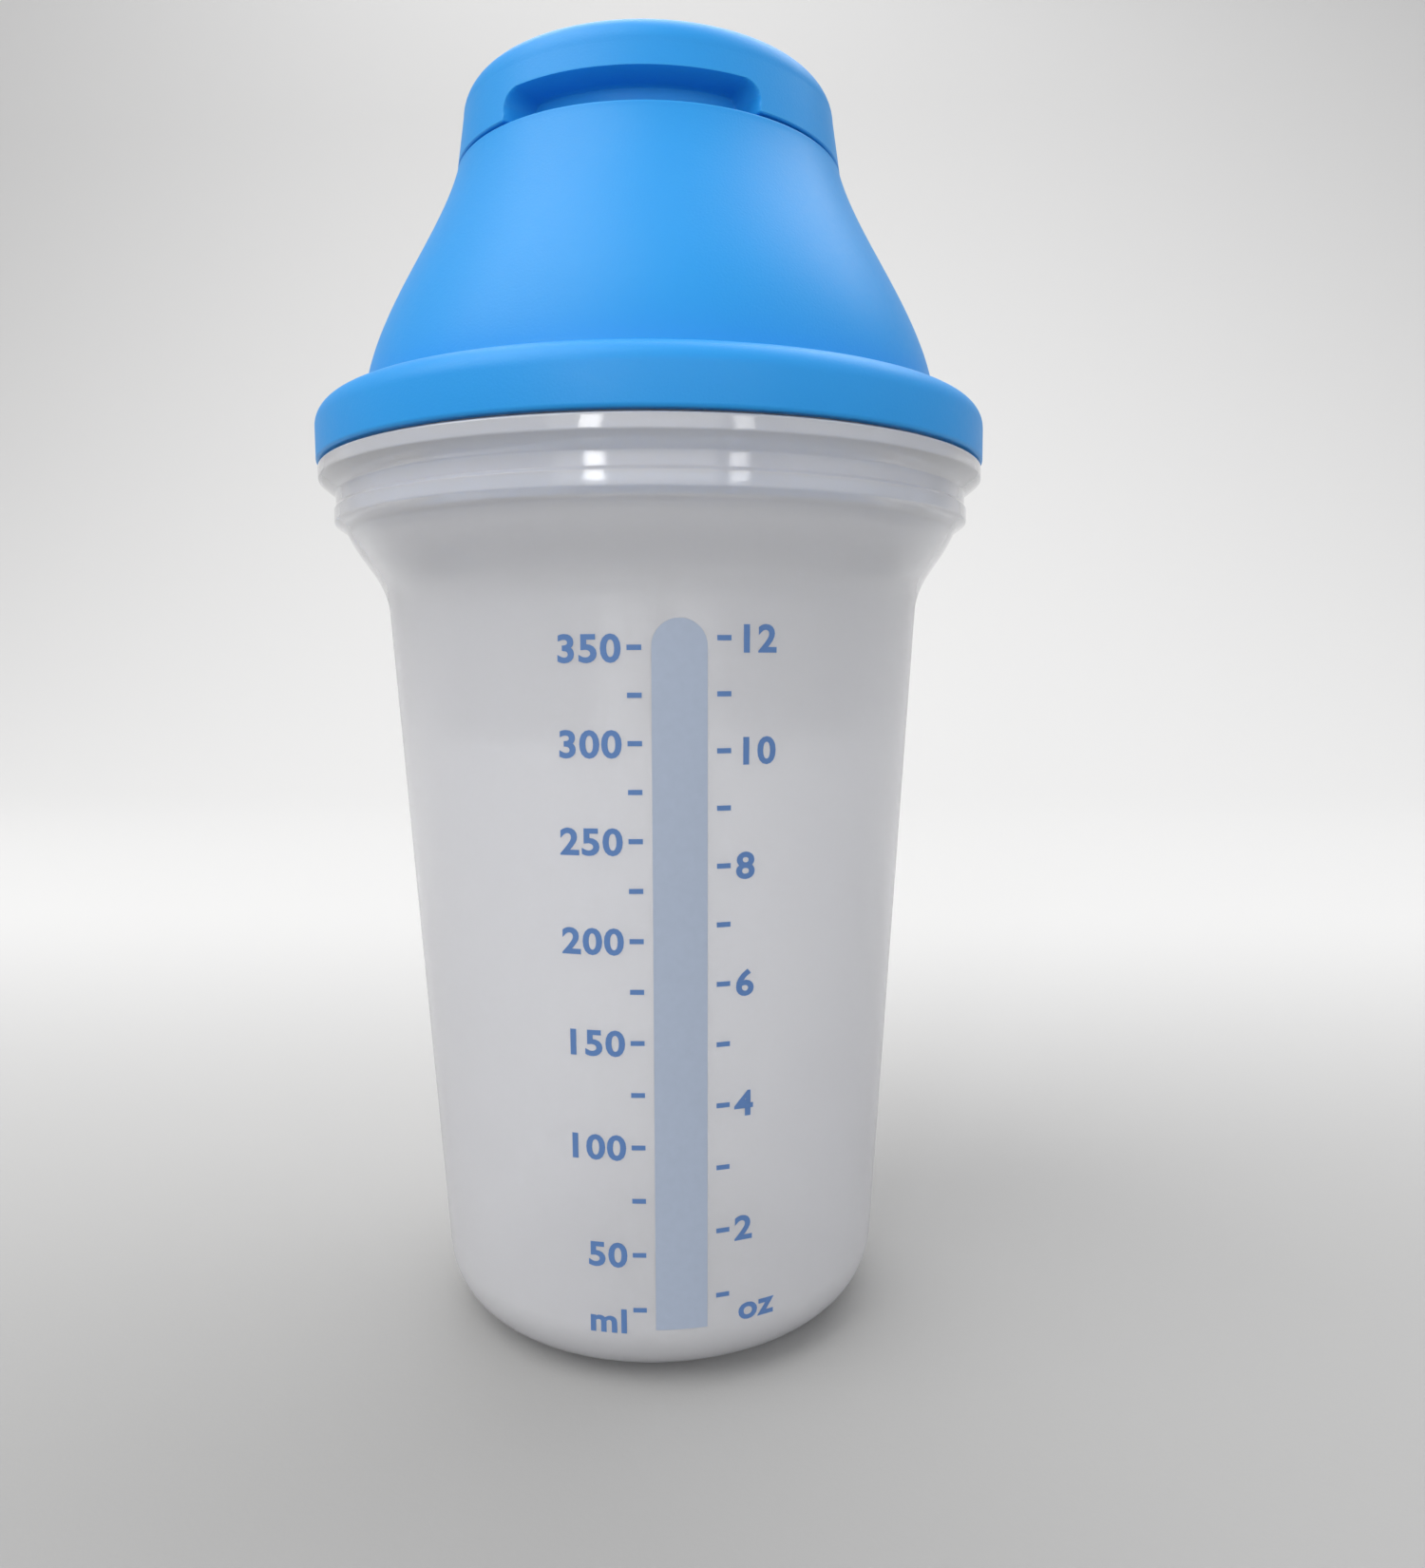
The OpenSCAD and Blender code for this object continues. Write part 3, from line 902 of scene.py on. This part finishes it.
def tick_tree():
    tree = bpy.data.node_groups.new("ticks_on_points", "GeometryNodeTree")
    face = tree.interface
    face.new_socket("Geometry", in_out="INPUT", socket_type="NodeSocketGeometry")
    for name in ("Tick Width", "Tick Height", "Ink Thickness"):
        face.new_socket(name, in_out="INPUT", socket_type="NodeSocketFloat")
    face.new_socket("Geometry", in_out="OUTPUT", socket_type="NodeSocketGeometry")
    nodes = tree.nodes
    link = tree.links.new
    given = nodes.new("NodeGroupInput")
    result = nodes.new("NodeGroupOutput")
    size = nodes.new("ShaderNodeCombineXYZ")
    link(given.outputs["Tick Width"], size.inputs["X"])
    link(given.outputs["Ink Thickness"], size.inputs["Y"])
    link(given.outputs["Tick Height"], size.inputs["Z"])
    tick = nodes.new("GeometryNodeMeshCube")
    link(size.outputs[0], tick.inputs["Size"])
    tick.inputs["Vertices X"].default_value = 4
    placed = nodes.new("GeometryNodeInstanceOnPoints")
    link(given.outputs["Geometry"], placed.inputs["Points"])
    link(tick.outputs["Mesh"], placed.inputs["Instance"])
    real = nodes.new("GeometryNodeRealizeInstances")
    link(placed.outputs[0], real.inputs[0])
    paint = nodes.new("GeometryNodeSetMaterial")
    link(real.outputs[0], paint.inputs["Geometry"])
    paint.inputs["Material"].default_value = SCALE_INK
    link(paint.outputs[0], result.inputs[0])
    return tree


BEND_TREE = bend_tree()
TICK_TREE = tick_tree()
INK = 0.04             # thickness of the ink film
PROUD = 0.035          # height of the film's middle over the wall
PRINT_TURN = math.radians(10.4)  # the scale faces a little to the right of the spout


def bent(obj, ink_material):
    """Wraps flat artwork round the tumbler's side."""
    return with_tree(obj, BEND_TREE, base_radius=(BASE_R + PROUD) * MM,
                     taper=(BODY_R - BASE_R) / BODY_H, turn=PRINT_TURN, material=ink_material)


# %% Stripe and ticks
STRIPE_W = 6.9
STRIPE_LOW = 8.9
STRIPE_TOP = 102.6
TICK_W = 1.8
TICK_H = 0.65
TICK_X = STRIPE_W / 2 + 1.2 + TICK_W / 2


def stripe():
    """Flat stripe with a round top, in narrow columns so that it bends smoothly."""
    half = STRIPE_W / 2
    rows = [STRIPE_LOW + (STRIPE_TOP - half - STRIPE_LOW) * i / 30 for i in range(31)]
    outline = [(half, z) for z in rows]
    outline += [(half * math.cos(a), STRIPE_TOP - half + half * math.sin(a))
                for a in (math.pi / 2 * i / 12 for i in range(1, 12))]
    columns = 12
    verts = []
    faces = []
    for y in (-INK / 2, INK / 2):
        for w, z in outline:
            verts += [(w * (2 * i / columns - 1), y, z) for i in range(columns + 1)]
    layer = len(outline) * (columns + 1)
    for side in (0, layer):
        for row in range(len(outline) - 1):
            for i in range(columns):
                a = side + row * (columns + 1) + i
                faces.append([a, a + 1, a + columns + 2, a + columns + 1])
    border = [i for i in range(columns)]
    border += [row * (columns + 1) + columns for row in range(len(outline) - 1)]
    top = (len(outline) - 1) * (columns + 1)
    border += [top + i for i in range(columns, 0, -1)]
    border += [row * (columns + 1) for row in range(len(outline) - 1, 0, -1)]
    for a, b in zip(border, border[1:] + border[:1]):
        faces.append([a, b, b + layer, a + layer])
    return new_object("printed_stripe", verts, faces)


finish_piece(bent(stripe(), STRIPE_INK), STRIPE_INK, "tumbler")

tick_points = [(-TICK_X, 0, z) for z in ML_TICKS] + [(TICK_X, 0, z) for z in OZ_TICKS]
ticks = new_object("printed_ticks", tick_points, [])
with_tree(ticks, TICK_TREE, tick_width=TICK_W * MM, tick_height=TICK_H * MM,
          ink_thickness=INK * MM)
finish_piece(bent(ticks, SCALE_INK), SCALE_INK, "tumbler")

# %% [markdown]
# The numerals are plain text made into a mesh. A text curve's offset thickens the strokes to
# the weight of the print, and its extrusion gives the film its thickness.

# %% Numerals
NUMERAL_H = 4.7        # text size that gives numerals 3.4 mm tall
CAP_SHARE = 0.36       # half a numeral's height, as a share of the text size
WIDEN = 1.1            # the printed figures are a little wider than the built-in ones


def label(text, x, z, align):
    """One printed word, centred on height z, starting or ending at x."""
    data = bpy.data.curves.new("label_" + text, "FONT")
    data.body = text
    data.size = NUMERAL_H * MM
    data.align_x = align
    data.offset = 0.13 * MM
    data.extrude = INK / 2 * MM
    data.space_character = 1.08
    data.resolution_u = 4
    source = bpy.data.objects.new("label_" + text, data)
    bpy.context.scene.collection.objects.link(source)
    bpy.context.view_layer.update()
    seen = source.evaluated_get(bpy.context.evaluated_depsgraph_get())
    mesh = bpy.data.meshes.new_from_object(seen)
    bpy.data.objects.remove(source)
    obj = bpy.data.objects.new("label_" + text, mesh)
    bpy.context.scene.collection.objects.link(obj)
    stand = Matrix.Rotation(math.pi / 2, 4, "X")
    wide = Matrix.Diagonal((WIDEN, 1, 1, 1))
    return move(obj, Matrix.Translation((x, 0, z - CAP_SHARE * NUMERAL_H)) @ stand @ wide)


NUMERAL_X = TICK_X + TICK_W / 2 + 0.7
words = [label(str(v), -NUMERAL_X, level(v), "RIGHT") for v in range(50, 351, 50)]
words += [label(str(v), NUMERAL_X, level(v * OUNCE), "LEFT") for v in range(2, 13, 2)]
words.append(label("ml", -NUMERAL_X, level(25) - 1.6, "RIGHT"))
words.append(label("oz", NUMERAL_X + 0.6, level(OUNCE) - 2.4, "LEFT"))
numerals = joined("printed_numerals", *words)
finish_piece(bent(numerals, SCALE_INK), SCALE_INK, "tumbler")

# %% [markdown]
# ## Set and light
# A plain pale sweep: floor, a long curve and a wall in one sheet, so there is no horizon.
# The paper's colour is darker towards the front: painted shade that stands for the room's light
# falling off there.

# %% Sweep
def sweep():
    front = -1.6
    bend_at = 0.7
    radius = 0.9
    line = [(front, 0.0), (bend_at, 0.0)]
    line += [(bend_at + radius * math.sin(a), radius - radius * math.cos(a))
             for a in (math.pi / 2 * i / 24 for i in range(1, 25))]
    line.append((bend_at + radius, 3.0))
    verts = [(x / MM, y / MM, z / MM) for y, z in line for x in (-3.0, 3.0)]
    faces = [[2 * i, 2 * i + 1, 2 * i + 3, 2 * i + 2] for i in range(len(line) - 1)]
    return new_object("sweep", verts, faces)


paper, paper_tree, paper_shader = material("paper", (0.68, 0.665, 0.65), 0.8,
                                           Specular_IOR_Level=0.2)
paper_place = paper_tree.nodes.new("ShaderNodeTexCoord")
paper_split = paper_tree.nodes.new("ShaderNodeSeparateXYZ")
paper_tree.links.new(paper_place.outputs["Object"], paper_split.inputs[0])
# Painted shade on the paper: its base colour runs from dark near the front to light further
# back.
PAINTED_SHADE_NEAR = -0.1       # metres from the bottle's axis, where the paper is darkest
PAINTED_SHADE_FAR = 0.3
PAPER_PAINTED_SHADE = 0.36
PAPER_LIGHT = 0.64
# Painted shade: the paper's base colour is darkened towards the front in place of the light's
# real fall-off.
depth = node(paper_tree, "ShaderNodeMapRange", "darker towards the front",
             From_Min=PAINTED_SHADE_NEAR, From_Max=PAINTED_SHADE_FAR, To_Min=PAPER_PAINTED_SHADE, To_Max=PAPER_LIGHT)
depth.interpolation_type = "SMOOTHSTEP"
paper_tree.links.new(paper_split.outputs["Y"], depth.inputs["Value"])
paper_tree.links.new(depth.outputs["Result"], paper_shader.inputs["Base Color"])
grain(paper_tree, paper_shader, 1500, 0.02, "paper tooth")
backdrop = sweep()
backdrop.data.shade_smooth()
backdrop.data.materials.append(paper)

# %% Camera
CAMERA_TURN = math.radians(3.4)
CAMERA_PITCH = math.radians(5.38)
CAMERA_ROLL = math.radians(-0.4)
CAMERA_AT = Vector((0.0086, -0.1835, 0.096))
LENS = 27.27


def aimed(turn, pitch, roll):
    """Rotation of a camera that looks along +Y, turned, tipped down and rolled."""
    return (Matrix.Rotation(turn, 4, "Z") @ Matrix.Rotation(math.pi / 2 - pitch, 4, "X")
            @ Matrix.Rotation(roll, 4, "Z"))


camera_data = bpy.data.cameras.new("camera")
camera_data.lens = LENS
camera_data.sensor_width = 36
camera_data.clip_start = 0.01
camera = bpy.data.objects.new("camera", camera_data)
bpy.context.scene.collection.objects.link(camera)
place = Matrix.Rotation(CAMERA_TURN, 4, "Z") @ CAMERA_AT
camera.matrix_world = Matrix.Translation(place) @ aimed(CAMERA_TURN, CAMERA_PITCH, CAMERA_ROLL)
bpy.context.scene.camera = camera
print("camera at", [round(c, 4) for c in place])

# %% [markdown]
# ### Lights
# A wide soft light stands above and to the left, a weaker one on the right, a low soft one in
# front, and one behind washes the wall. Two tall panels in front stand for the windows that
# the polished collar mirrors.

# %% Lights
def panel(name, azimuth, elevation, distance, size, power, colour=(1, 1, 1)):
    """An area light that faces the bottle. Azimuth 0 is in front and 90 is to the right."""
    data = bpy.data.lights.new(name, "AREA")
    data.shape = "RECTANGLE"
    data.size, data.size_y = size
    data.energy = power
    data.color = colour
    light = bpy.data.objects.new(name, data)
    bpy.context.scene.collection.objects.link(light)
    a = math.radians(azimuth)
    e = math.radians(elevation)
    target = Vector((0, 0, 0.1))
    away = Vector((math.sin(a) * math.cos(e), -math.cos(a) * math.cos(e), math.sin(e)))
    light.location = target + distance * away
    light.rotation_euler = away.to_track_quat("Z", "Y").to_euler()
    return light


panel("sky_left", -55, 54, 1.5, (1.3, 1.3), 15, (1.0, 0.99, 0.97))
panel("fill_right", 70, 30, 1.6, (1.2, 1.4), 1.8, (0.96, 0.98, 1.0))
panel("wall_wash", 160, 60, 1.8, (2.4, 1.2), 22)
panel("front_soft", 0, 20, 1.8, (1.8, 0.9), 6)
panel("window_left", -13, 14, 1.1, (0.12, 0.3), 1.2)
panel("window_right", 34, 14, 1.1, (0.12, 0.3), 0.6)

world = bpy.data.worlds.new("room")
bpy.context.scene.world = world
world.use_nodes = True
world.node_tree.nodes["Background"].inputs["Color"].default_value = (0.98, 0.975, 0.98, 1)
world.node_tree.nodes["Background"].inputs["Strength"].default_value = 0.55
bpy.context.scene.view_settings.view_transform = "Standard"
print("lights:", [light.name for light in bpy.data.lights])
